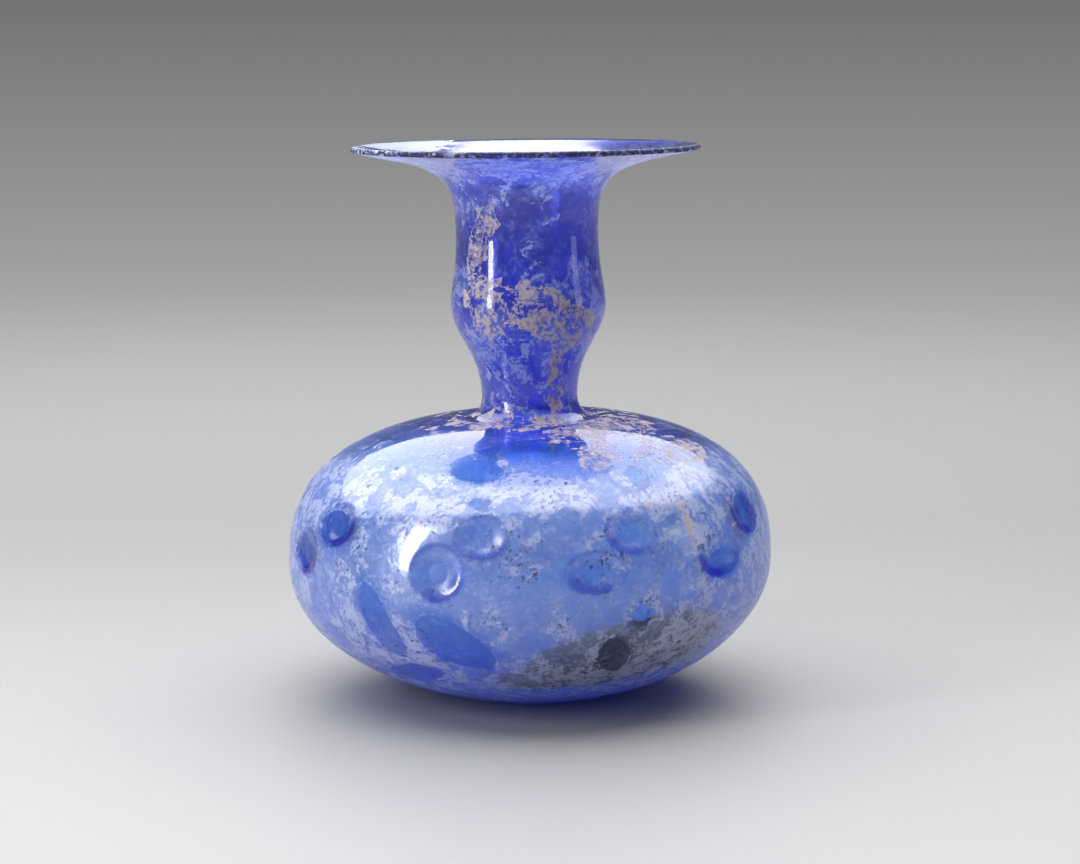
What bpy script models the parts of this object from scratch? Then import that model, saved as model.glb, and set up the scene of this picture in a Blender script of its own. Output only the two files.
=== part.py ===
# A hand-blown glass perfume flask: a squat round body with two rows of pressed dents, a waisted and
# swollen neck, and a wide flat rim. One hollow piece, standing on the ring of its flattened base.
# Metres, +Z up. The origin is the middle of the underside. -Y is the side that faces the viewer.
import math

import bmesh
import bpy
from mathutils import Matrix, Vector
from mathutils.geometry import interpolate_bezier

# Body: two half ovals that meet at the widest level
BODY_RADIUS = 0.0356
WIDEST_LEVEL = 0.0195
SHOULDER_TOP = 0.0409
LOWER_FULLNESS = 2.0
UPPER_FULLNESS = 2.55
BODY_WALL = 0.0014

# Base: a flat ring to stand on, with the middle pushed up
FOOT_RADIUS = 0.0125
FOOT_WIDTH = 0.0020
KICK_RISE = 0.0008
KICK_FLAT = 0.5
FLOOR_THICKNESS = 0.0024

# Neck, from the joint with the shoulder upwards. The rises are shares of its height up to the rim
RIM_LEVEL = 0.0800
JOINT_RADIUS = 0.0110
JOINT_DIP = 0.0007
WAIST_RADIUS = 0.00705
WAIST_RISE = 0.0639
SWELL_RADIUS = 0.01135
SWELL_RISE = 0.4066
THROAT_RADIUS = 0.0104
THROAT_RISE = 0.6726
NECK_WALL = 0.0015
# How far the handles of each bend reach, as shares of its rise, and for the flare's second one of its width
JOINT_HANDLES = (0.6, 0.8)
SWELL_HANDLES = (0.5, 0.32)
THROAT_HANDLES = (0.25, 0.55)
FLARE_HANDLES = (0.83, 0.21)

# Rim: a shallow dish that turns out of the neck
RIM_RADIUS = 0.0254
LIP_THICKNESS = 0.0008
LIP_TOP_WIDTH = 0.0009
LIP_ROUNDING = 0.00022
RIM_RISE = 0.0025

# Dents: slanted pairs around the body, each with a lower and an upper dent
DENT_PAIRS = 9
LOWER_DENT_LEVEL = 0.0234
UPPER_DENT_LEVEL = 0.0283
LOWER_DENT_AZIMUTH = math.radians(-65)
UPPER_DENT_AZIMUTH = math.radians(-52)
LOWER_DENT_SIZE = (0.0092, 0.0062)
UPPER_DENT_SIZE = (0.0080, 0.0066)
DENT_DEPTH = 0.0013
# The nose of the pressing tool: how far its widest level stays outside, and its width in dent widths
TOOL_STANDOFF = 0.0007
TOOL_SPREAD = 1.16
# How far each pair strays from an even spacing, in degrees, and how hard its lower dent was pressed:
# wider and taller, as shares of its size
LOWER_DRIFT = (0, 1.5, 0, -6, -2, 2, 1, -2, 1)
UPPER_DRIFT = (0, 1, -4, -4.5, -1, 3, 0, -1, 2)
PRESSED_WIDER = (0.93, 1.14, 1, 1, 1.05, 0.95, 1.08, 1, 0.95)
PRESSED_TALLER = (1.1, 1.5, 1, 1, 1, 1.1, 1, 1.15, 1)

# Made by eye: the neck leans, and everything above the foot tips a little to one side
NECK_LEAN = -0.0006
BODY_TIP = math.radians(0.9)
RIM_TIP = math.radians(0.6)
TIP_STARTS = 0.0015
TIP_FULL = 0.0120

# How finely the round forms are divided
AROUND = 40
BODY_STEPS = 11
NECK_STEPS = 5
CAVITY_STEPS = 7
CAVITY_NECK_STEPS = 3
DENT_DIVISIONS = (14, 10)
BULGE_DIVISIONS = (10, 8)

CUT_OVERRUN = 0.002
SAME_PLACE = 1e-7
GLASS_COLOUR = (0.075, 0.16, 0.62, 1.0)


def clear_scene():
    for thing in list(bpy.data.objects):
        bpy.data.objects.remove(thing, do_unlink=True)


def oval(radius, height, fullness, angle):
    """A point of a full-cornered oval: distance from the axis and height from its middle."""
    across = radius * math.cos(angle) ** (2 / fullness)
    along = height * abs(math.sin(angle)) ** (2 / fullness)
    return across, math.copysign(along, angle)


def oval_angle(radius, fullness, across):
    """The angle at which the oval is that far from its axis."""
    return math.acos((across / radius) ** (fullness / 2))


def lower_height():
    """How deep the lower half oval would reach if the base were not flattened."""
    angle = oval_angle(BODY_RADIUS, LOWER_FULLNESS, FOOT_RADIUS)
    return WIDEST_LEVEL / math.sin(angle) ** (2 / LOWER_FULLNESS)


def half_oval(radius, height, fullness, first, last, steps):
    """Points of a half oval at even angles, as distance from the axis and level."""
    points = []
    for step in range(steps + 1):
        across, along = oval(radius, height, fullness, first + (last - first) * step / steps)
        points.append((across, WIDEST_LEVEL + along))
    return points


def bend(start, first_handle, last_handle, end, steps):
    """Points of a smooth bend, without its first one."""
    knots = [Vector((x, 0, z)) for x, z in (start, first_handle, last_handle, end)]
    return [(point.x, point.z) for point in interpolate_bezier(*knots, steps + 1)[1:]]


def s_bend(start, end, handles, steps):
    """A bend between two levels where the wall stands upright, without its first point."""
    rise = end[1] - start[1]
    first_handle = (start[0], start[1] + rise * handles[0])
    last_handle = (end[0], end[1] - rise * handles[1])
    return bend(start, first_handle, last_handle, end, steps)


def neck_curve(joint, wall, rim_edge, steps):
    """The neck from its joint to the edge of the rim, set in from the outside by a wall."""
    rise = RIM_LEVEL - SHOULDER_TOP
    waist = (WAIST_RADIUS - wall, SHOULDER_TOP + rise * WAIST_RISE)
    swell = (SWELL_RADIUS - wall, SHOULDER_TOP + rise * SWELL_RISE)
    throat = (THROAT_RADIUS - wall, SHOULDER_TOP + rise * THROAT_RISE)
    joint_handle = (joint[0] + (waist[0] - joint[0]) * JOINT_HANDLES[0], joint[1] - JOINT_DIP)
    waist_handle = (waist[0], waist[1] + (joint[1] - waist[1]) * JOINT_HANDLES[1])
    throat_handle = (throat[0], throat[1] + (rim_edge[1] - throat[1]) * FLARE_HANDLES[0])
    rim_handle = (throat[0] + (rim_edge[0] - throat[0]) * FLARE_HANDLES[1], rim_edge[1] - RIM_RISE)
    points = bend(joint, joint_handle, waist_handle, waist, steps)
    points += s_bend(waist, swell, SWELL_HANDLES, steps + 1)
    points += s_bend(swell, throat, THROAT_HANDLES, steps - 1)
    points += bend(throat, throat_handle, rim_handle, rim_edge, steps + 3)
    return points


def outer_profile():
    """The outside of the flask from the middle of the underside to the middle of the rim's plane."""
    foot_angle = oval_angle(BODY_RADIUS, LOWER_FULLNESS, FOOT_RADIUS)
    joint_angle = oval_angle(BODY_RADIUS, UPPER_FULLNESS, JOINT_RADIUS)
    rise = SHOULDER_TOP - WIDEST_LEVEL
    underside = RIM_LEVEL - LIP_THICKNESS
    inside_foot = FOOT_RADIUS - FOOT_WIDTH
    points = [(0, KICK_RISE), (KICK_FLAT * inside_foot, KICK_RISE), (inside_foot, 0)]
    points += half_oval(BODY_RADIUS, lower_height(), LOWER_FULLNESS, -foot_angle, 0, BODY_STEPS)
    points += half_oval(BODY_RADIUS, rise, UPPER_FULLNESS, 0, joint_angle, BODY_STEPS)[1:]
    points += neck_curve(points[-1], 0, (RIM_RADIUS - LIP_ROUNDING, underside), NECK_STEPS)
    points += [(RIM_RADIUS, underside + LIP_ROUNDING), (RIM_RADIUS, RIM_LEVEL - LIP_ROUNDING)]
    points += [(RIM_RADIUS - LIP_ROUNDING, RIM_LEVEL), (0, RIM_LEVEL)]
    return points


def cavity_profile():
    """The hollow from the middle of the floor to above the rim."""
    radius = BODY_RADIUS - BODY_WALL
    rise = SHOULDER_TOP - BODY_WALL - WIDEST_LEVEL
    joint_angle = oval_angle(radius, UPPER_FULLNESS, JOINT_RADIUS - BODY_WALL)
    mouth = (RIM_RADIUS - LIP_TOP_WIDTH, RIM_LEVEL)
    drop = WIDEST_LEVEL - FLOOR_THICKNESS
    points = half_oval(radius, drop, LOWER_FULLNESS, -math.pi / 2, 0, CAVITY_STEPS)
    points += half_oval(radius, rise, UPPER_FULLNESS, 0, joint_angle, CAVITY_STEPS + 1)[1:]
    points += neck_curve(points[-1], NECK_WALL, mouth, CAVITY_NECK_STEPS)
    points += [(mouth[0] + CUT_OVERRUN, RIM_LEVEL + CUT_OVERRUN), (0, RIM_LEVEL + CUT_OVERRUN)]
    return points


def turned(name, profile):
    """A closed solid of revolution around Z."""
    mesh = bmesh.new()
    ring = [mesh.verts.new((across, 0, level)) for across, level in profile]
    edges = [mesh.edges.new(pair) for pair in zip(ring, ring[1:])]
    bmesh.ops.spin(mesh, geom=ring + edges, cent=(0, 0, 0), axis=(0, 0, 1), dvec=(0, 0, 0),
                   angle=math.tau, steps=AROUND, use_merge=True)
    bmesh.ops.remove_doubles(mesh, verts=mesh.verts, dist=SAME_PLACE)
    bmesh.ops.recalc_face_normals(mesh, faces=mesh.faces)
    return add_object(name, mesh)


def add_object(name, mesh):
    data = bpy.data.meshes.new(name)
    mesh.to_mesh(data)
    mesh.free()
    thing = bpy.data.objects.new(name, data)
    bpy.context.scene.collection.objects.link(thing)
    return thing


def upper_surface(level):
    """The outside of the upper body at a level: its radius and its outward slope."""
    rise = SHOULDER_TOP - WIDEST_LEVEL
    share = (level - WIDEST_LEVEL) / rise
    radius = BODY_RADIUS * (1 - share ** UPPER_FULLNESS) ** (1 / UPPER_FULLNESS)
    out = (radius / BODY_RADIUS) ** (UPPER_FULLNESS - 1) / BODY_RADIUS
    up = share ** (UPPER_FULLNESS - 1) / rise
    return radius, math.atan2(up, out)


def presser(name, azimuth, level, size, grown, divisions):
    """The round-nosed tool that presses one dent, grown by a wall to shape the glass behind it."""
    across, tall, deep = size
    radius, slope = upper_surface(level)
    place = Matrix.Rotation(azimuth, 4, 'Z') @ Matrix.Translation((0, -radius, level))
    place = place @ Matrix.Rotation(math.pi / 2 - slope, 4, 'X')
    place = place @ Matrix.Translation((0, 0, TOOL_STANDOFF))
    semi = Vector((across / 2 * TOOL_SPREAD, tall / 2 * TOOL_SPREAD, deep + TOOL_STANDOFF))
    semi += Vector((grown, grown, grown))
    mesh = bmesh.new()
    bmesh.ops.create_uvsphere(mesh, u_segments=divisions[0], v_segments=divisions[1], radius=1)
    bmesh.ops.scale(mesh, verts=mesh.verts, vec=semi)
    bmesh.ops.transform(mesh, verts=mesh.verts, matrix=place)
    return add_object(name, mesh)


def dent_places():
    """Azimuth, level and size of each dent, pair by pair."""
    for pair in range(DENT_PAIRS):
        turn = math.tau * pair / DENT_PAIRS
        hand = pair % len(LOWER_DRIFT)
        wider, taller = PRESSED_WIDER[hand], PRESSED_TALLER[hand]
        lower = LOWER_DENT_AZIMUTH + turn + math.radians(LOWER_DRIFT[hand])
        upper = UPPER_DENT_AZIMUTH + turn + math.radians(UPPER_DRIFT[hand])
        across, tall = LOWER_DENT_SIZE
        deep = DENT_DEPTH * math.sqrt(wider * taller)
        yield lower, LOWER_DENT_LEVEL, (across * wider, tall * taller, deep)
        yield upper, UPPER_DENT_LEVEL, (*UPPER_DENT_SIZE, DENT_DEPTH)


def pressers(title, grown, divisions):
    """All the pressing tools, gathered in one collection."""
    group = bpy.data.collections.new(title)
    for number, (azimuth, level, size) in enumerate(dent_places()):
        tool = presser(f'{title}_{number:02d}', azimuth, level, size, grown, divisions)
        bpy.context.scene.collection.objects.unlink(tool)
        group.objects.link(tool)
    return group


def take_out(thing, tool):
    """Takes a tool's shape, or those of a whole collection of tools, out of a solid."""
    step = thing.modifiers.new(tool.name, 'BOOLEAN')
    step.operation = 'DIFFERENCE'
    step.solver = 'EXACT'
    if isinstance(tool, bpy.types.Collection):
        step.operand_type = 'COLLECTION'
        step.collection = tool
    else:
        step.object = tool


def bake_cuts(thing):
    """Replaces an object's mesh by the one with its cuts made."""
    graph = bpy.context.evaluated_depsgraph_get()
    data = bpy.data.meshes.new_from_object(thing.evaluated_get(graph))
    thing.modifiers.clear()
    thing.data = data


def set_by_hand(thing):
    """Leans the neck and tips everything above the foot, as blown and not turned."""
    for vertex in thing.data.vertices:
        spot = vertex.co
        tipped = min(max((spot.z - TIP_STARTS) / (TIP_FULL - TIP_STARTS), 0), 1)
        tipped = tipped * tipped * (3 - 2 * tipped)
        leant = max((spot.z - SHOULDER_TOP) / (RIM_LEVEL - SHOULDER_TOP), 0)
        slope = math.tan(BODY_TIP) * (1 - leant) + math.tan(RIM_TIP) * leant
        spot.z += spot.x * slope * tipped
        spot.x += NECK_LEAN * leant


def glass():
    material = bpy.data.materials.new('cobalt_glass')
    material.use_nodes = True
    shader = material.node_tree.nodes['Principled BSDF']
    shader.inputs['Base Color'].default_value = GLASS_COLOUR
    shader.inputs['Roughness'].default_value = 0.12
    shader.inputs['Metallic'].default_value = 0.0
    shader.inputs['IOR'].default_value = 1.5
    shader.inputs['Transmission Weight'].default_value = 0.85
    return material


def main():
    clear_scene()
    flask = turned('glass_flask', outer_profile())
    hollow = turned('hollow', cavity_profile())
    dents = pressers('dent', 0, DENT_DIVISIONS)
    bulges = pressers('bulge', BODY_WALL, BULGE_DIVISIONS)
    take_out(hollow, bulges)
    take_out(flask, dents)
    take_out(flask, hollow)
    bpy.context.view_layer.update()
    bake_cuts(hollow)
    bake_cuts(flask)
    for tool in [hollow, *dents.objects, *bulges.objects]:
        bpy.data.objects.remove(tool, do_unlink=True)
    set_by_hand(flask)
    flask.data.materials.clear()
    flask.data.materials.append(glass())
    flask.data.shade_smooth()


main()
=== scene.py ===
# A blown cobalt-blue glass perfume flask with two rows of pressed dents, under old film and crust.
import math

import bmesh
import bpy
import numpy as np
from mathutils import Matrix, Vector, noise
from mathutils.geometry import interpolate_bezier


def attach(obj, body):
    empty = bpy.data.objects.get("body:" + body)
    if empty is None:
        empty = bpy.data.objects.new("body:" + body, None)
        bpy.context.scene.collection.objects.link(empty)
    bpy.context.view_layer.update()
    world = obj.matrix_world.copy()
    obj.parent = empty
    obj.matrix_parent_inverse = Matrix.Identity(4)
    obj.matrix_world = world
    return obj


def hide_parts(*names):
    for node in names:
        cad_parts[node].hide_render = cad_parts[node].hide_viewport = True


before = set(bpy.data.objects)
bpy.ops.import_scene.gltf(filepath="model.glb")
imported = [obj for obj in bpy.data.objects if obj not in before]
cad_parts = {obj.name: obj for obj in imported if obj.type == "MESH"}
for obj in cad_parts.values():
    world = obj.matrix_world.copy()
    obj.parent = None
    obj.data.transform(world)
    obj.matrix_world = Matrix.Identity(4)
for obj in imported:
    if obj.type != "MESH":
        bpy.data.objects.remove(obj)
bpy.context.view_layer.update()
print("frame loaded:", sorted(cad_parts))


# The flask's shape, in metres. The outline is the one of its solid, divided more finely.
flask = {
    "bodyRadius": 0.0356,
    "widestLevel": 0.0195,
    "shoulderTop": 0.0409,
    "lowerFullness": 2.0,
    "upperFullness": 2.55,
    "bodyWall": 0.0014,
    "footRadius": 0.0125,
    "footWidth": 0.0020,
    "footEase": 0.0003,  # how far the wall stays clear of the foot ring
    "kickRise": 0.0008,
    "kickShape": ((0, 1), (0.3, 1), (0.6, 0.9), (0.85, 0.45), (1, 0.1)),  # across and up, in shares
    "footShape": (0.35, 0.75),  # where the ring is level, in shares of its width
    "floorThickness": 0.0024,
    "jointRadius": 0.0110,
    "jointDip": 0.0007,
    "waist": (0.00705, 0.0434),
    "swell": (0.01135, 0.0568),
    "throat": (0.0104, 0.0672),
    "neckWall": 0.0015,
    "jointHandles": (0.6, 0.8),
    "swellHandles": (0.5, 0.32),
    "throatHandles": (0.25, 0.55),
    "flareHandles": (0.83, 0.21),
    "rimRadius": 0.0254,
    "rimLevel": 0.0800,
    "rimRise": 0.0025,
    "lipThickness": 0.0008,
    "lipRound": 0.45,    # how far the lip's rounded edge reaches in, in thicknesses
    "lipSteps": 8,
    "lipTopWidth": 0.0009,
    "mouthDrop": 0.00003,
    "neckLean": -0.0006,
    "bodyTip": math.radians(0.9),
    "rimTip": math.radians(0.6),
    "tipStarts": 0.0015,
    "tipFull": 0.0120,
    "around": 180,
    "bodyGap": 0.0011,   # distance between rings, outside
    "neckGap": 0.0008,
    "flareGap": 0.0007,
    "insideGap": 0.0014,
    "insideFlareShare": 0.8,
    "bodyBand": (0.010, 0.038),  # the levels between which the body's oval is trued and pressed
    "bodyCore": 0.016,           # and how far from the middle that starts
    "waver": 0.00007,            # how far the blown wall strays from true
    "waverLength": 0.013,
    "waverShare": (3.1, 0.35),   # a finer waver: how much shorter and how much weaker
    "waverStarts": 0.004,        # above and outside this
}

# The pressed dents: pairs that slant up to the right, each with a lower and an upper dent
dents = {
    "pairs": 9,
    "lowerLevel": 0.0234,
    "upperLevel": 0.0283,
    "lowerAzimuth": -65.0,
    "upperAzimuth": -52.0,
    "lowerSize": (0.0092, 0.0062),
    "upperSize": (0.0080, 0.0066),
    "depth": 0.0007,
    "lowerDrift": (0, 4, 0, -6, -2, 2, 1, -2, 1),
    "upperDrift": (0, 1, -4, -4.5, -1, 3, 0, -1, 2),
    "wider": (0.93, 0.90, 1, 1, 1.05, 0.95, 1.08, 1, 0.95),
    "taller": (1.1, 1.35, 1, 1, 1, 1.1, 1, 1.15, 1),
    "floorShare": 0.22,    # of the width: where the floor ends and the wall starts
    "insideFloorShare": 0.6,
    "lipHeight": 0.00002,  # glass pushed up on the upper left of each dent
    "lipPlace": 0.94,      # in dent widths
    "lipWidth": 0.30,
    "lipSide": (-0.8, 0.6),
    "lipTurns": (-0.3, 0.7),      # how it comes in around the dent, towards that side
    "lipStrength": 6,      # how much faster it grows than the dent
    "bossRadius": 0.0013,  # the small knob in the middle of each dent
    "bossEnds": (0.75, 1.1),      # in its radii
    "bossHeight": 0.00008,
    "insideBossShare": 0.4,
    "insideGrows": 0.0009,
    "dentShadeLean": -0.7,         # how far down the painted shade in each dent leans
    "shadeStarts": (0.25, 0.70),   # the band of painted shade on each dent's wall, in dent widths
    "shadeEnds": (0.85, 1.12),
    "shadeTurns": (0.0, 0.8),
    "shadeShares": (0.6, 0.6),     # how dark the painted shade is, and how much more in a dent that faces sideways
    "sidelong": (0.6, 0.9),       # from here on a dent is painted dark as a whole, as shade
    "wholeShare": 0.6,
    "wholeEnds": (0.75, 1.1),
    "edgeStarts": (0.80, 0.92),   # the thin line of painted shade around each dent
    "edgeEnds": (0.96, 1.08),
    "edgeShare": 0.4,
    "farthest": 0.012,     # nothing of a dent is further than this from its middle
    "cuts": 4,
    "insideCuts": 2,
    "band": (0.014, 0.037),
    "reach": 1.35,         # how far around each dent the mesh is divided more finely
}


def smoothStep(low, high, value):
    share = min(max((value - low) / (high - low), 0.0), 1.0)
    return share * share * (3 - 2 * share)


def ovalAngle(radius, fullness, across):
    return math.acos((across / radius) ** (fullness / 2))


def halfOval(radius, height, fullness, first, last, steps=240):
    points = []
    for step in range(steps + 1):
        angle = first + (last - first) * step / steps
        across = radius * max(math.cos(angle), 0.0) ** (2 / fullness)
        along = height * abs(math.sin(angle)) ** (2 / fullness)
        points.append((across, flask["widestLevel"] + math.copysign(along, angle)))
    return points


def lowerHeight():  # how deep the lower half oval would reach without the flat base
    angle = ovalAngle(flask["bodyRadius"], flask["lowerFullness"], flask["footRadius"])
    return flask["widestLevel"] / math.sin(angle) ** (2 / flask["lowerFullness"])


def bend(start, firstHandle, lastHandle, end, steps=80):
    knots = [Vector((x, 0, z)) for x, z in (start, firstHandle, lastHandle, end)]
    return [(point.x, point.z) for point in interpolate_bezier(*knots, steps + 1)]


def sBend(start, end, handles):
    rise = end[1] - start[1]
    return bend(start, (start[0], start[1] + rise * handles[0]), (end[0], end[1] - rise * handles[1]), end)


def spaced(points, gap):  # the same curve in even steps of about one gap
    lengths = [math.dist(a, b) for a, b in zip(points, points[1:])]
    total = sum(lengths)
    count = max(round(total / gap), 1)
    made, piece, passed = [points[0]], 0, 0.0
    for step in range(1, count):
        target = total * step / count
        while passed + lengths[piece] < target:
            passed += lengths[piece]
            piece += 1
        share = (target - passed) / lengths[piece]
        a, b = points[piece], points[piece + 1]
        made.append((a[0] + (b[0] - a[0]) * share, a[1] + (b[1] - a[1]) * share))
    return made + [points[-1]]


def neckParts(joint, wall, rimEdge):  # the four bends of the neck, from the shoulder to the rim
    waist, swell, throat = [(flask[name][0] - wall, flask[name][1]) for name in ("waist", "swell", "throat")]
    jointHandle = (joint[0] + (waist[0] - joint[0]) * flask["jointHandles"][0], joint[1] - flask["jointDip"])
    waistHandle = (waist[0], waist[1] + (joint[1] - waist[1]) * flask["jointHandles"][1])
    throatHandle = (throat[0], throat[1] + (rimEdge[1] - throat[1]) * flask["flareHandles"][0])
    flareReach = (rimEdge[0] - throat[0]) * flask["flareHandles"][1]
    rimHandle = (throat[0] + flareReach, rimEdge[1] - flask["rimRise"])
    return [bend(joint, jointHandle, waistHandle, waist), sBend(waist, swell, flask["swellHandles"]),
            sBend(swell, throat, flask["throatHandles"]), bend(throat, throatHandle, rimHandle, rimEdge)]


def wallRadius(level, inset):  # the body's radius at a level, outside or set in by its wall
    radius = flask["bodyRadius"] - inset
    if level >= flask["widestLevel"]:
        share = (level - flask["widestLevel"]) / (flask["shoulderTop"] - inset - flask["widestLevel"])
        fullness = flask["upperFullness"]
    else:
        deep = lowerHeight() if inset == 0 else flask["widestLevel"] - flask["floorThickness"]
        share = (flask["widestLevel"] - level) / deep
        fullness = flask["lowerFullness"]
    return radius * max(1 - share ** fullness, 0.0) ** (1 / fullness)


def wallNormal(point):  # outward from the body's oval at a point
    level = point.z
    radius = max(math.hypot(point.x, point.y), 1e-6)
    if level >= flask["widestLevel"]:
        rise, fullness, side = flask["shoulderTop"] - flask["widestLevel"], flask["upperFullness"], 1
    else:
        rise, fullness, side = lowerHeight(), flask["lowerFullness"], -1
    out = (radius / flask["bodyRadius"]) ** (fullness - 1) / flask["bodyRadius"]
    up = side * (abs(level - flask["widestLevel"]) / rise) ** (fullness - 1) / rise
    return Vector((point.x / radius * out, point.y / radius * out, up)).normalized()


def outsideProfile():  # from the middle of the base up to the top of the lip
    radius, rise = flask["bodyRadius"], flask["shoulderTop"] - flask["widestLevel"]
    lip, rim, top = flask["lipThickness"], flask["rimRadius"], flask["rimLevel"]
    insideFoot = flask["footRadius"] - flask["footWidth"]
    points = [(insideFoot * across, flask["kickRise"] * up) for across, up in flask["kickShape"]]
    points += [(insideFoot + flask["footWidth"] * share, 0) for share in flask["footShape"]]
    footAngle = ovalAngle(radius, flask["lowerFullness"], flask["footRadius"])
    jointAngle = ovalAngle(radius, flask["upperFullness"], flask["jointRadius"])
    lower = halfOval(radius, lowerHeight(), flask["lowerFullness"], -footAngle, 0)
    upper = halfOval(radius, rise, flask["upperFullness"], 0, jointAngle)
    clear = flask["footRadius"] + flask["footEase"]
    wall = [point for point in lower if point[0] > clear] + upper[1:]
    points += spaced(wall, flask["bodyGap"])
    roundRadius = rim - lip * flask["lipRound"]
    parts = neckParts(points[-1], 0, (roundRadius, top - lip))
    for part, gap in zip(parts, ("neckGap", "neckGap", "neckGap", "flareGap")):
        points += spaced(part, flask[gap])[1:]
    for step in range(1, flask["lipSteps"]):
        angle = -math.pi / 2 + math.pi * step / flask["lipSteps"]
        across = roundRadius + lip * flask["lipRound"] * math.cos(angle)
        points.append((across, top - lip / 2 + lip / 2 * math.sin(angle)))
    return points + [(roundRadius, top)]


def insideProfile():  # from the middle of the hollow's floor up to the mouth
    radius, rise = flask["bodyRadius"] - flask["bodyWall"], flask["shoulderTop"] - flask["widestLevel"]
    deep = flask["widestLevel"] - flask["floorThickness"]
    jointAngle = ovalAngle(radius, flask["upperFullness"], flask["jointRadius"] - flask["bodyWall"])
    lower = halfOval(radius, deep, flask["lowerFullness"], -math.pi / 2, 0)
    upper = halfOval(radius, rise - flask["bodyWall"], flask["upperFullness"], 0, jointAngle)
    points = spaced(lower + upper[1:], flask["insideGap"])
    mouth = (flask["rimRadius"] - flask["lipTopWidth"], flask["rimLevel"] - flask["mouthDrop"])
    parts = neckParts(points[-1], flask["neckWall"], mouth)
    for part, share in zip(parts, (1, 1, 1, flask["insideFlareShare"])):
        points += spaced(part, flask["insideGap"] * share)[1:]
    return points


def flaskProfile():  # one line: up the outside, over the lip and down the inside
    return outsideProfile() + insideProfile()[::-1]


def dentPlace(azimuth, level, size, hard):  # a dent's middle on the glass, its directions and its sizes
    angle = math.radians(azimuth)
    radius = wallRadius(level, 0)
    centre = Vector((radius * math.sin(angle), -radius * math.cos(angle), level))
    side = Vector((math.cos(angle), math.sin(angle), 0))
    return {"centre": centre, "side": side, "up": wallNormal(centre).cross(side), "hard": hard,
            "half": (size[0] / 2, size[1] / 2), "dentShadeLean": (-math.sin(angle), dents["dentShadeLean"])}


def dentPlaces():
    places = []
    for pair in range(dents["pairs"]):
        turn = 360.0 * pair / dents["pairs"]
        wider, taller = dents["wider"][pair], dents["taller"][pair]
        size = (dents["lowerSize"][0] * wider, dents["lowerSize"][1] * taller)
        lower = dents["lowerAzimuth"] + turn + dents["lowerDrift"][pair]
        upper = dents["upperAzimuth"] + turn + dents["upperDrift"][pair]
        places.append(dentPlace(lower, dents["lowerLevel"], size, math.sqrt(wider * taller)))
        places.append(dentPlace(upper, dents["upperLevel"], dents["upperSize"], 1.0))
    return places


def dentRing(place, point, grown=0.0):  # how far from a dent's middle, 1 at its edge, and in metres
    away = point - place["centre"]
    if away.length > dents["farthest"]:
        return 9.0, 1.0
    across, up = away.dot(place["side"]), away.dot(place["up"])
    ring = math.hypot(across / (place["half"][0] + grown), up / (place["half"][1] + grown))
    return ring, math.hypot(across, up)


def pressedBy(places, point, outside):  # how deep the glass is pushed in at a point
    deepest, raised = 0.0, 0.0
    for place in places:
        ring, away = dentRing(place, point, 0 if outside else dents["insideGrows"])
        if ring > 2:
            continue
        floor = dents["floorShare"] if outside else dents["floorShare"] * dents["insideFloorShare"]
        deep = dents["depth"] * place["hard"] * (1 - smoothStep(floor, 1.0, ring))
        boss = dents["bossHeight"] * (1 - smoothStep(*dents["bossEnds"], away / dents["bossRadius"]))
        deep -= boss if outside else boss * dents["insideBossShare"]
        deepest = max(deepest, deep)
        if outside:
            spot = point - place["centre"]
            towards = place["up"] * dents["lipSide"][1] + place["side"] * dents["lipSide"][0]
            upperLeft = smoothStep(*dents["lipTurns"], spot.dot(towards) / max(away, 1e-6))
            lip = math.exp(-(((ring - dents["lipPlace"]) / dents["lipWidth"]) ** 2)) * upperLeft
            raised = max(raised, lip * dents["lipHeight"] * place["hard"] ** dents["lipStrength"])
    return deepest - raised * (1 - min(deepest / dents["depth"] * 3, 1))


def paintedDentShadeBy(places, point):  # painted shade in a dent: its lower wall, its edge, and all of a dent that faces sideways
    most = 0.0
    for place in places:
        ring = dentRing(place, point)[0]
        if ring < dents["reach"]:
            away = point - place["centre"]
            across, up = away.dot(place["side"]), away.dot(place["up"])
            spot = Vector((across / place["half"][0], up / place["half"][1]))
            facing = spot.normalized().dot(Vector(place["dentShadeLean"]).normalized())
            sidelong = abs(place["dentShadeLean"][0])
            share = dents["shadeShares"][0] + dents["shadeShares"][1] * sidelong
            band = smoothStep(*dents["shadeStarts"], ring) * (1 - smoothStep(*dents["shadeEnds"], ring))
            lowerWall = min(band * smoothStep(*dents["shadeTurns"], facing) * share, 1.0)
            whole = smoothStep(*dents["sidelong"], sidelong) * (1 - smoothStep(*dents["wholeEnds"], ring))
            edge = smoothStep(*dents["edgeStarts"], ring) * (1 - smoothStep(*dents["edgeEnds"], ring))
            most = max(most, lowerWall, whole * dents["wholeShare"], edge * dents["edgeShare"])
    return most


def setByHand(point):  # leans the neck and tips everything above the foot
    tipped = smoothStep(flask["tipStarts"], flask["tipFull"], point.z)
    leant = max((point.z - flask["shoulderTop"]) / (flask["rimLevel"] - flask["shoulderTop"]), 0)
    slope = math.tan(flask["bodyTip"]) * (1 - leant) + math.tan(flask["rimTip"]) * leant
    return Vector((point.x + flask["neckLean"] * leant, point.y, point.z + point.x * slope * tipped))


def spinWalls(mesh, layer):  # both walls as one closed skin, each vertex marked as outside or inside
    profile = flaskProfile()
    over = profile.index(max(profile, key=lambda point: point[1]))
    ring = [mesh.verts.new((across, 0, level)) for across, level in profile]
    for number, vertex in enumerate(ring):
        vertex[layer] = float(number <= over)
    edges = [mesh.edges.new(pair) for pair in zip(ring, ring[1:])]
    bmesh.ops.spin(mesh, geom=ring + edges, cent=(0, 0, 0), axis=(0, 0, 1), dvec=(0, 0, 0),
                   angle=math.tau, steps=flask["around"], use_merge=True)
    bmesh.ops.remove_doubles(mesh, verts=mesh.verts, dist=1e-6)
    bmesh.ops.recalc_face_normals(mesh, faces=mesh.faces)


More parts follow.
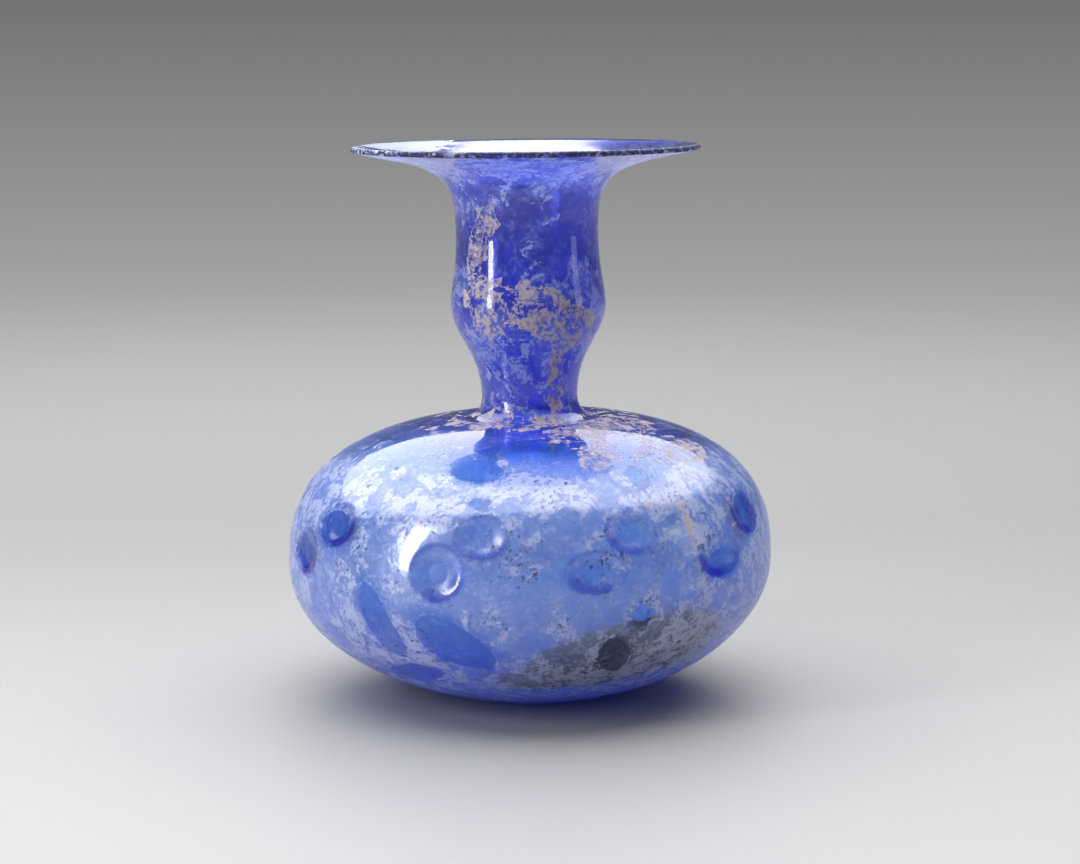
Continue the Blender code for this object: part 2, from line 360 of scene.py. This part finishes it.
def divideAroundDents(mesh, layer, places):
    lowest, highest = dents["band"]
    for outside, cuts in ((True, dents["cuts"]), (False, dents["insideCuts"])):
        fine = set()
        for face in mesh.faces:
            spot = face.calc_center_median()
            if lowest < spot.z < highest and (face.verts[0][layer] > 0.5) == outside:
                if any(dentRing(place, spot)[0] < dents["reach"] for place in places):
                    fine.update(face.edges)
        bmesh.ops.subdivide_edges(mesh, edges=list(fine), cuts=cuts, use_grid_fill=True)


def wavered(point, radius, outside):  # the point with the unevenness of a blown wall
    seed = Vector((0, 0, 0)) if outside else Vector((3, 5, 7))
    finer, weaker = flask["waverShare"]
    scaled = point / flask["waverLength"]
    stray = noise.noise(scaled + seed) + weaker * noise.noise(scaled * finer + seed)
    share = 1 + stray * flask["waver"] / radius
    return Vector((point.x * share, point.y * share, point.z))


def makeFlask():
    mesh = bmesh.new()
    layer = mesh.verts.layers.float.new("outside")
    pressed = mesh.verts.layers.float.new("pressed")
    pooled = mesh.verts.layers.float.new("pooled")
    places = dentPlaces()
    spinWalls(mesh, layer)
    divideAroundDents(mesh, layer, places)
    lowest, highest = flask["bodyBand"]
    for vertex in mesh.verts:
        point = vertex.co.copy()
        radius = math.hypot(point.x, point.y)
        outside = vertex[layer] > 0.5
        if lowest < point.z < highest and radius > flask["bodyCore"]:
            true = wallRadius(point.z, 0 if outside else flask["bodyWall"])
            point.x *= true / radius
            point.y *= true / radius
            deep = pressedBy(places, point, outside)
            vertex[pressed] = min(max(deep / dents["depth"], 0.0), 1.0)
            # the dents' painted shade, on the outside only
            vertex[pooled] = paintedDentShadeBy(places, point) * outside
            point -= wallNormal(point) * deep
        if radius > flask["waverStarts"] and point.z > flask["waverStarts"]:
            point = wavered(point, radius, outside)
        vertex.co = setByHand(point)
    bmesh.ops.recalc_face_normals(mesh, faces=mesh.faces)
    for face in mesh.faces:
        face.smooth = True
    data = bpy.data.meshes.new("blown_flask")
    mesh.to_mesh(data)
    mesh.free()
    thing = bpy.data.objects.new("blown_flask", data)
    bpy.context.scene.collection.objects.link(thing)
    return thing


blownFlask = makeFlask()
print("flask made:", sum(len(face.vertices) - 2 for face in blownFlask.data.polygons), "triangles")
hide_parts("glass_flask")
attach(blownFlask, "root")


class Wire:  # one output of a node, which sums, differences and products can be taken of
    def __init__(self, tree, socket):
        self.tree, self.socket = tree, socket

    def node(self, kind, settings=None, inputs=None, out=0):
        made = self.tree.nodes.new(kind)
        for name, value in (settings or {}).items():
            if name == "stops":
                while len(made.color_ramp.elements) < len(value):
                    made.color_ramp.elements.new(0.5)
                for stop, (place, colour) in zip(made.color_ramp.elements, value):
                    stop.position, stop.color = place, (*colour, 1)
            else:
                setattr(made, name, value)
        for name, value in (inputs or {}).items():
            if isinstance(value, Wire):
                self.tree.links.new(value.socket, made.inputs[name])
            else:
                made.inputs[name].default_value = value
        return Wire(self.tree, made.outputs[out])

    def math(self, operation, *values):
        return self.node("ShaderNodeMath", {"operation": operation}, dict(enumerate(values)))

    def __add__(self, other):
        return self.math("ADD", self, other)

    def __radd__(self, other):
        return self.math("ADD", other, self)

    def __sub__(self, other):
        return self.math("SUBTRACT", self, other)

    def __rsub__(self, other):
        return self.math("SUBTRACT", other, self)

    def __mul__(self, other):
        return self.math("MULTIPLY", self, other)

    def __abs__(self):
        return self.math("ABSOLUTE", self)

    def over(self, other):  # the larger of the two
        return self.math("MAXIMUM", self, other)

    def step(self, low, high):  # 0 below low, 1 above high, smooth between them
        return self.node("ShaderNodeMapRange", {"interpolation_type": "SMOOTHSTEP"},
                         {"Value": self, "From Min": low, "From Max": high})

    def mixColour(self, first, second):  # first where this is 0, second where it is 1
        return self.node("ShaderNodeMix", {"data_type": "RGBA"}, {"Factor": self, 6: first, 7: second}, 2)

    def mixShader(self, first, second):
        return self.node("ShaderNodeMixShader", {}, {0: self, 1: first, 2: second})

    def show(self, kind, volume=None):  # makes this the surface of the material or the world
        output = self.tree.nodes.new("ShaderNodeOutput" + kind)
        self.tree.links.new(self.socket, output.inputs["Surface"])
        if volume:
            self.tree.links.new(volume.socket, output.inputs["Volume"])


def newMaterial(name):
    material = bpy.data.materials.new(name)
    material.use_nodes = True
    material.node_tree.nodes.clear()
    return material, Wire(material.node_tree, None)


# Where the weathering sits. Each patch: azimuth in degrees (0 faces the viewer, + is to the right, None goes
# all the way round), level, width and height in mm, turn in degrees, and how much is added or taken away
weather = {
    "filmBase": 0.50,
    "crustBase": 0.06,
    "lipWidth": 0.00035,  # how far the dark of the lip reaches in from its edge
    "patchFull": 0.3,     # in patch widths: a patch is full up to here
    "patchEnds": 1.7,     # and gone here
    "patchDepth": 0.006,  # a patch doesn't reach through to the wall opposite
    "rimStarts": 0.07,
    "film": (
        (None, 68, 0, 12, 0, -0.14),
        (None, 54, 0, 14, 0, 0.02),
        (None, 38.5, 0, 5, 0, -0.12),
        (None, 77, 0, 4, 0, 0.06),
        (-68, 79.3, 17, 8, 0, 0.62),
        (-125, 79.3, 25, 10, 0, 0.62),
        (2, 20, 46, 22, 0, -0.23),
        (-43, 25, 15, 15, 0, -0.15),
        (-27, 9, 10, 8, 0, 0.14),
        (0, 38, 30, 10, 0, -0.06),
        (-27, 13.5, 17, 15, 0, 0.12),
        (-48, 14, 14, 14, 20, 0.08),
        (-24, 23.5, 10, 8, 0, -0.06),
        (0, 33.5, 50, 7, 0, 0.12),
        (42, 28, 10, 14, 20, 0.10),
        (24, 9, 36, 15, 0, 0.20),
        (-75, 20, 14, 40, 0, 0.06),
        (75, 16, 16, 34, 0, 0.06),
        (-60, 38.5, 26, 7, 0, -0.16),
        (-50, 33, 20, 10, 0, 0.04),
        (50, 38.5, 30, 6, 0, -0.20),
        (48, 33.5, 20, 8, 0, 0.04),
    ),
    "crust": (
        (-37, 68.5, 5, 8, -20, 0.50),
        (-47, 64.5, 4, 5, 0, 0.42),
        (-40, 58.0, 8, 9, 0, 0.34),
        (-10, 57.5, 12, 9, 0, 0.40),
        (22, 55.5, 10, 6, -20, 0.40),
        (50, 54.0, 5, 8, 20, 0.32),
        (30, 49.5, 4, 6, 10, 0.36),
        (31, 44.5, 3.5, 7, 0, 0.42),
        (-36, 41.2, 4, 4, 0, 0.36),
        (None, 40.6, 0, 2.2, 0, 0.31),
        (42, 39.9, 18, 7, 10, 0.62),
        (24, 37.6, 10, 6, 30, 0.56),
        (52, 37.6, 13, 6, 20, 0.58),
        (64, 36.6, 10, 5, 20, 0.52),
        (40, 30.3, 2.6, 4.5, 0, 0.46),
        (40, 26.7, 2.4, 3.2, 0, 0.40),
        (30, 31.8, 2.6, 2.6, 0, 0.40),
        (-89, 34.4, 3, 3, 0, 0.42),
        (-71, 39.6, 8, 3, 0, 0.26),
        (150, 56, 12, 9, 0, 0.38),
        (200, 38, 16, 6, 10, 0.38),
        (130, 30, 9, 7, 0, 0.32),
    ),
    "clear": (
        (-36.5, 15.3, 4.8, 12.5, 22, 1.0),
        (-33.5, 7.6, 11, 4.2, 14, 1.0),
        (-17.8, 13.0, 12.5, 7.0, -35, 1.0),
        (-65, 22.9, 6, 5, 0, 1.0),
        (-54, 27.6, 5.5, 5, 0, 0.9),
        (51, 22.6, 7, 5, 0, 0.9),
        (64.5, 28.5, 6, 6, 0, 1.0),
        (-66, 37.5, 26, 8, 0, 0.40),
        (-46, 27.5, 9, 5, 20, 0.30),
        (66, 38.0, 34, 8, 0, 0.42),
        (None, 40.5, 0, 5, 0, 0.20),
        (-15.2, 36.2, 7, 4.2, 0, 1.0),
        (-12.5, 32.4, 3.2, 2.2, 0, 1.0),
        (8, 38.6, 20, 5.5, 0, 1.0),
        (21, 11.2, 3.6, 6.5, 20, 1.0),
        (26, 17.2, 3.0, 3.0, 0, 1.0),
        (24, 9.5, 26, 13, 14, 0.22),
        (32, 34.9, 3.2, 4.4, 0, 0.8),
        (140, 20, 12, 8, 20, 1.0),
        (-130, 14, 10, 9, -20, 1.0),
        (180, 34, 14, 5, 0, 1.0),
    ),
    "paintedShadow": (            # painted shadow on the inside, low on the right: the floor's shadow seen through the glass
        (24, 9.5, 24, 13, 14, 1.0),
        (44, 10.0, 13, 9, 10, 0.8),
        (2, 6.0, 12, 6, 14, 0.8),
        (26, 17.2, 1.6, 1.6, 0, -1.6),
    ),
}


def outsideSpot(azimuth, level):  # a point on the outside, and the directions to its side and up the wall
    outline = [point for point in outsideProfile() if point[1] > 0.0005]
    lipEdge = max(outline, key=lambda point: point[0] * (point[1] > weather["rimStarts"]))
    outline = outline[:outline.index(lipEdge) + 1]
    near = min(range(1, len(outline) - 1), key=lambda number: abs(outline[number][1] - level))
    (lowAcross, lowLevel), (highAcross, highLevel) = outline[near - 1], outline[near + 1]
    angle = math.radians(azimuth)
    away = Vector((math.sin(angle), -math.cos(angle), 0))
    rise = Vector((0, 0, highLevel - lowLevel)) + away * (highAcross - lowAcross)
    side = Vector((math.cos(angle), math.sin(angle), 0))
    return away * outline[near][0] + Vector((0, 0, level)), side, rise.normalized()


def patchField(points, patches, base):
    field = np.full(len(points), base)
    full, ends = weather["patchFull"], weather["patchEnds"]
    for azimuth, level, across, tall, turn, amount in patches:
        if azimuth is None:
            ring = np.abs(points[:, 2] * 1000 - level) / (tall / 2)
            near = 1
        else:
            middle, side, up = outsideSpot(azimuth, level / 1000)
            spin = math.radians(turn)
            first = side * math.cos(spin) + up * math.sin(spin)
            second = up * math.cos(spin) - side * math.sin(spin)
            away = points - np.array(middle)
            sideways, upwards = away @ np.array(first), away @ np.array(second)
            ring = np.hypot(sideways / (across / 2000), upwards / (tall / 2000))
            near = np.abs(away @ np.array(side.cross(up))) < weather["patchDepth"]
        share = np.clip((ends - ring) / (ends - full), 0, 1) * near
        field += amount * share * share * (3 - 2 * share)
    return field


def weatherFlask(thing):
    data = thing.data
    points = np.empty(len(data.vertices) * 3)
    data.vertices.foreach_get("co", points)
    points = points.reshape(-1, 3)
    outside = np.empty(len(points))
    data.attributes["outside"].data.foreach_get("value", outside)
    film = patchField(points, weather["film"], weather["filmBase"])
    crust = patchField(points, weather["crust"], weather["crustBase"])
    paintedShadow = patchField(points, weather["paintedShadow"], 0.0)
    clear = patchField(points, weather["clear"], 0.0)
    across = np.hypot(points[:, 0] - flask["neckLean"], points[:, 1])
    atLip = (across > flask["rimRadius"] - weather["lipWidth"]) & (points[:, 2] > weather["rimStarts"])
    clear[atLip] = -1
    # the second channel holds the crust outside and the painted shadow inside
    colours = np.stack([film, np.where(outside > 0.5, crust, paintedShadow), clear, outside], axis=1)
    layer = data.attributes.new("weather", "FLOAT_COLOR", "POINT")
    layer.data.foreach_set("color", colours.astype(np.float32).ravel())


weatherFlask(blownFlask)

# The glass and what lies on it. Levels are in metres, each from where a change starts to where it ends.
glassLook = {
    "bodyTint": (0.40, 0.90, 1.0, 1),
    # the dark violet of the painted shade in the dents
    "dentShadeTint": (0.08, 0.02, 0.60, 1),
    "neckTint": (0.23, 0.28, 0.92, 1),
    # painted shade where the flask meets the floor
    "shadedBottomTint": (0.05, 0.055, 0.12, 1),
    "roughness": 0.03,
    "frosting": 0.42,
    "bend": 1.5,         # index of refraction
    "absorbs": (0.53, 0.52, 0.93, 1),
    "density": 520.0,
    "shadowTint": (0.18, 0.18, 0.20, 1),
    "neckStarts": (0.0355, 0.0405),
    "rimStarts": (0.0765, 0.0785),
    "upperStarts": (0.026, 0.033),
    "bottomEnds": (0.009, 0.024),
    "shadedBottomEnds": (0.0005, 0.0055),
    "cloudScale": 190,   # the noise behind the forms of the film and the crust, from coarse to fine
    "patchScale": 420,
    "threadScale": 900,
    "grainScale": 1700,
}

filmLook = {
    "lavender": (0.52, 0.66, 1.0, 1),
    "white": (0.70, 0.76, 0.92, 1),
    "gloss": 2.6,
    "roughness": 0.20,
    "frosting": 0.5,
    "glow": (0.66, 0.80, 1.0, 1),  # light that comes through the film
    "glowShare": 0.42,
    "veil": 0.46,        # the thin haze over the body
    "neckVeil": 0.07,
    "bottom": 0.75,      # the haze on the inside of the bottom
    "chalk": 0.9,
    "relief": 0.0002,
    "reliefStrength": 0.25,
}

crustAndShadowLook = {
    "crustDark": (0.36, 0.30, 0.34, 1),
    "crustPale": (0.60, 0.51, 0.47, 1),
    "crustEdge": 0.42,   # the value of the crust's field at its outline
    # the painted shadow's colour, and how much of it shows
    "paintedShadow": (0.045, 0.085, 0.065, 1),
    "paintedShadowShare": 0.94,
    "speck": (0.02, 0.02, 0.05, 1),
    "speckShare": 0.8,
    "roughness": 0.75,
}


def makeGlass():
    material, start = newMaterial("weathered_cobalt_glass")
    place = start.node("ShaderNodeTexCoord", {}, {}, "Object")
    level = start.node("ShaderNodeSeparateXYZ", {}, {"Vector": place}, "Z")
    fields = start.node("ShaderNodeAttribute", {"attribute_name": "weather"}, {}, "Color")
    outside = start.node("ShaderNodeAttribute", {"attribute_name": "weather"}, {}, "Alpha")
    film = start.node("ShaderNodeSeparateColor", {}, {"Color": fields}, "Red")
    # the crust outside, and the painted shadow inside
    crust = start.node("ShaderNodeSeparateColor", {}, {"Color": fields}, "Green")
    clear = start.node("ShaderNodeSeparateColor", {}, {"Color": fields}, "Blue")
    pressed = start.node("ShaderNodeAttribute", {"attribute_name": "pressed"}, {}, "Fac")
    pooled = start.node("ShaderNodeAttribute", {"attribute_name": "pooled"}, {}, "Fac")

    def cloud(scale, detail, roughness=0.5, distortion=0.0):
        field = start.node("ShaderNodeTexNoise", {}, {
            "Vector": place, "Scale": scale, "Detail": detail, "Roughness": roughness,
            "Distortion": distortion}, "Fac")
        return field - 0.5

    big = cloud(glassLook["cloudScale"], 3)
    patch = cloud(glassLook["patchScale"], 3, 0.64, 0.6)
    fine = cloud(glassLook["grainScale"], 2, 0.6)
    thread = cloud(glassLook["threadScale"], 1, 0.5, 1.4)
    inside = 1 - outside
    neck = level.step(*glassLook["neckStarts"])
    rimTop = level.step(*glassLook["rimStarts"])
    upper = level.step(*glassLook["upperStarts"])
    # the bottom few millimetres are painted dark and lose most of their film: painted contact shade
    shadedBottom = 1 - level.step(*glassLook["shadedBottomEnds"])
    frost = rimTop * 0.15 + pressed * 0.6 + (neck - rimTop) * inside * 0.35

    # the clear patches with their fringes, and the parts of the film
    clearField = clear + big * 0.3
    cleared = clearField.step(0.50, 0.53)
    fringe = (1 - abs(clearField - 0.465).step(0.008, 0.03)) * (patch * 1.5 + 0.2)
    chalk = (film + patch * 0.8 + fine * 0.3).step(0.84, 0.89)
    threads = (1 - abs(thread).step(0.006, 0.024)) * (film + patch * 1.6).step(0.35, 0.65)
    islands = (film + big * 1.4 + patch * 0.8).step(0.50, 0.53)
    mottle = (film * 0.5 + patch * 1.1 + fine * 1.3).step(0.25, 0.31)
    haze = filmLook["veil"] - neck * (filmLook["veil"] - filmLook["neckVeil"])
    veil = haze * (1 + big + patch * 1.2) * (1 - clear.step(0, 0.6) * 0.8)
    bottom = inside * (1 - level.step(*glassLook["bottomEnds"])) * filmLook["bottom"]
    islandShare = islands * (upper * 0.12 + patch * 0.9 + mottle * 0.16 + 0.10)
    flakes = veil + mottle * 0.16 + islandShare + threads * 0.24
    # the film thins in the dents and where their shade is painted
    flakes = flakes * (1 - cleared * 0.7) * (1 - pooled.over(pressed * 0.6) * 0.9) * (0.5 + outside * 0.5)
    flakes = flakes * (1 - neck * 0.2) * (1 - shadedBottom * 0.7) + fringe.over(0) * (1 - shadedBottom)
    flakes = flakes * (1 - rimTop * inside * 0.75)
    filmShare = flakes + bottom * (1 - shadedBottom * 0.5) + chalk * filmLook["chalk"]

    # the crust, the painted shadow inside low on the right, the specks and the dark of the lip
    crustField = crust + big * 0.5 + patch * 0.8
    edge = crustAndShadowLook["crustEdge"]
    outline = (1 - abs(crustField - edge).step(0.008, 0.024)) * crust.step(0.26, 0.34)
    worn = (crust * 0.5 + patch * 2.0 + fine * 0.9 - big * 0.4).step(0.22, 0.26)
    fill = crustField.step(edge, edge + 0.02) * worn
    crustShare = outline.over(fill * (0.62 + mottle * 0.3 + patch)) * (0.86 + fine * 0.4) * outside
    paintedShadow = (crust + big * 0.25).step(0.46, 0.50) * inside
    specks = (big * 0.5 - fine).step(0.185, 0.20) * outside * (1 - neck)
    lip = (clear * -1).step(0.3, 0.7)
    lipShare = lip * (fine * 5 + 0.75).step(0, 1)
    specksAndShadow = (paintedShadow * crustAndShadowLook["paintedShadowShare"]).over(specks * crustAndShadowLook["speckShare"])
    crustAndShadowShare = crustShare.over(specksAndShadow).over(lipShare)

    bumped = start.node("ShaderNodeBump", {}, {
        "Strength": filmLook["reliefStrength"], "Distance": filmLook["relief"],
        "Height": patch * 0.9 + fine * 0.5}, "Normal")
    tint = neck.mixColour(glassLook["bodyTint"], glassLook["neckTint"])
    # painted shade: the dents' lower walls, edges and sideways dents turn dark violet
    tint = pooled.mixColour(tint, glassLook["dentShadeTint"])
    tint = shadedBottom.mixColour(tint, glassLook["shadedBottomTint"])
    glass = start.node("ShaderNodeBsdfPrincipled", {}, {
        "Base Color": tint, "Roughness": glassLook["roughness"] + frost * glassLook["frosting"],
        "IOR": glassLook["bend"], "Transmission Weight": 1.0})
    whiteness = (islands * 0.25 + mottle * 0.3 + threads * 0.4 + fine + chalk * 2).step(0, 1)
    sheen = start.node("ShaderNodeBsdfPrincipled", {}, {
        "Base Color": whiteness.mixColour(filmLook["lavender"], filmLook["white"]),
        "Roughness": filmLook["roughness"] + frost * filmLook["frosting"],
        "IOR": filmLook["gloss"], "Normal": bumped})
    glow = start.node("ShaderNodeBsdfTranslucent", {}, {"Color": filmLook["glow"]})
    skin = start.node("ShaderNodeMixShader", {}, {0: filmLook["glowShare"], 1: sheen, 2: glow})
    paleness = (outline * 0.4 + patch * 1.6 + fine * 1.5 + 0.3).step(0, 1)
    crustAndShadowColour = paleness.mixColour(crustAndShadowLook["crustDark"], crustAndShadowLook["crustPale"])
    crustAndShadowColour = paintedShadow.mixColour(crustAndShadowColour, crustAndShadowLook["paintedShadow"])
    crustAndShadowColour = specks.over(lip).mixColour(crustAndShadowColour, crustAndShadowLook["speck"])
    crustAndShadow = start.node("ShaderNodeBsdfPrincipled", {}, {
        "Base Color": crustAndShadowColour, "Roughness": crustAndShadowLook["roughness"], "Normal": bumped})
    surface = crustAndShadowShare.mixShader(filmShare.mixShader(glass, skin), crustAndShadow)
    shadow = start.node("ShaderNodeBsdfTransparent", {}, {"Color": glassLook["shadowTint"]})
    lamp = start.node("ShaderNodeLightPath", {}, {}, "Is Shadow Ray")
    volume = start.node("ShaderNodeVolumeAbsorption", {}, {
        "Color": glassLook["absorbs"], "Density": glassLook["density"]})
    lamp.mixShader(surface, shadow).show("Material", volume)
    return material


blownFlask.data.materials.append(makeGlass())
print("glass made")


# The studio: a pale floor, a large soft light overhead, a strip on the left and a weak card on the right
studio = {
    "floorRadius": 1.2,
    "floorLitNear": (0.385, 0.385, 0.39, 1),
    "floorDimFar": (0.21, 0.21, 0.214, 1),
    "floorRoughness": 0.55,
    "floorLightTurns": (-0.12, 0.15),  # metres behind the middle, from near to far: painted light, lighter in front and darker behind
    "floorFades": (0.15, 0.75),   # metres from the middle, into the backdrop
    "overhead": {"shape": "ELLIPSE", "place": (-0.1, 0.45, 0.535), "aim": (-0.1, 0.45, 0),
                 "size": (1.45, 1.39), "radiance": 3.4},
    "left_strip": {"shape": "RECTANGLE", "place": (-0.430, -0.255, 0.20), "aim": (0, 0, 0.05),
                   "size": (0.078, 0.36), "radiance": 18.0},
    "right_card": {"shape": "RECTANGLE", "place": (0.49, -0.09, 0.16), "aim": (0, 0, 0.05),
                   "size": (0.10, 0.25), "radiance": 1.5},
    # grey at shares of the sky's height, from straight down to straight up
    "backdrop": ((0.0, 0.60), (0.405, 0.60), (0.425, 0.54), (0.4523, 0.381), (0.4707, 0.296), (0.4891, 0.231),
                 (0.5054, 0.175), (0.53, 0.12), (0.65, 0.10), (0.8, 0.22), (1.0, 0.24)),
    "cameraPlace": (0.00148, -0.3937, 0.09506),
    "cameraDown": math.radians(8.26),
    "lens": 90,
    "bounces": {"max_bounces": 10, "diffuse_bounces": 2, "glossy_bounces": 3, "transmission_bounces": 8},
}


def makeFloor():
    mesh = bmesh.new()
    bmesh.ops.create_circle(mesh, cap_ends=True, segments=96, radius=studio["floorRadius"])
    data = bpy.data.meshes.new("floor")
    mesh.to_mesh(data)
    mesh.free()
    floor = bpy.data.objects.new("floor", data)
    bpy.context.scene.collection.objects.link(floor)
    material, start = newMaterial("pale_floor")
    place = start.node("ShaderNodeTexCoord", {}, {}, "Object")
    away = start.node("ShaderNodeVectorMath", {"operation": "LENGTH"}, {0: place}, "Value")
    back = start.node("ShaderNodeSeparateXYZ", {}, {"Vector": place}, "Y")
    # painted light: the floor's colour is lighter in front and darker behind
    colour = back.step(*studio["floorLightTurns"]).mixColour(studio["floorLitNear"], studio["floorDimFar"])
    paint = start.node("ShaderNodeBsdfPrincipled", {}, {
        "Base Color": colour, "Roughness": studio["floorRoughness"]})
    gone = start.node("ShaderNodeBsdfTransparent")
    away.step(*studio["floorFades"]).mixShader(paint, gone).show("Material")
    data.materials.append(material)


def makeLight(name):
    look = studio[name]
    lamp = bpy.data.lights.new(name, "AREA")
    lamp.shape = look["shape"]
    lamp.size, lamp.size_y = look["size"]
    area = look["size"][0] * look["size"][1] * (math.pi / 4 if look["shape"] == "ELLIPSE" else 1)
    lamp.energy = look["radiance"] * math.pi * area
    holder = bpy.data.objects.new(name, lamp)
    holder.location = look["place"]
    holder.rotation_euler = (Vector(look["aim"]) - Vector(look["place"])).to_track_quat("-Z", "Y").to_euler()
    bpy.context.scene.collection.objects.link(holder)


def makeSky():
    world = bpy.data.worlds.new("studio_air")
    bpy.context.scene.world = world
    world.use_nodes = True
    world.node_tree.nodes.clear()
    start = Wire(world.node_tree, None)
    direction = start.node("ShaderNodeTexCoord", {}, {}, "Generated")
    level = start.node("ShaderNodeSeparateXYZ", {}, {"Vector": direction}, "Z")
    stops = [(place, (grey, grey, grey)) for place, grey in studio["backdrop"]]
    colour = start.node("ShaderNodeValToRGB", {"stops": stops}, {"Fac": level * 0.5 + 0.5})
    start.node("ShaderNodeBackground", {}, {"Color": colour, "Strength": 1.0}).show("World")


def makeCamera():
    camera = bpy.data.cameras.new("camera")
    camera.lens, camera.sensor_width = studio["lens"], 36
    camera.clip_start, camera.clip_end = 0.01, 20
    holder = bpy.data.objects.new("camera", camera)
    holder.location = studio["cameraPlace"]
    holder.rotation_euler = (math.pi / 2 - studio["cameraDown"], 0, 0)
    bpy.context.scene.collection.objects.link(holder)
    bpy.context.scene.camera = holder


makeFloor()
for lightName in ("overhead", "left_strip", "right_card"):
    makeLight(lightName)
makeSky()
makeCamera()
bpy.context.scene.view_settings.view_transform = "Standard"
for setting, count in studio["bounces"].items():
    setattr(bpy.context.scene.cycles, setting, count)
print("studio made")
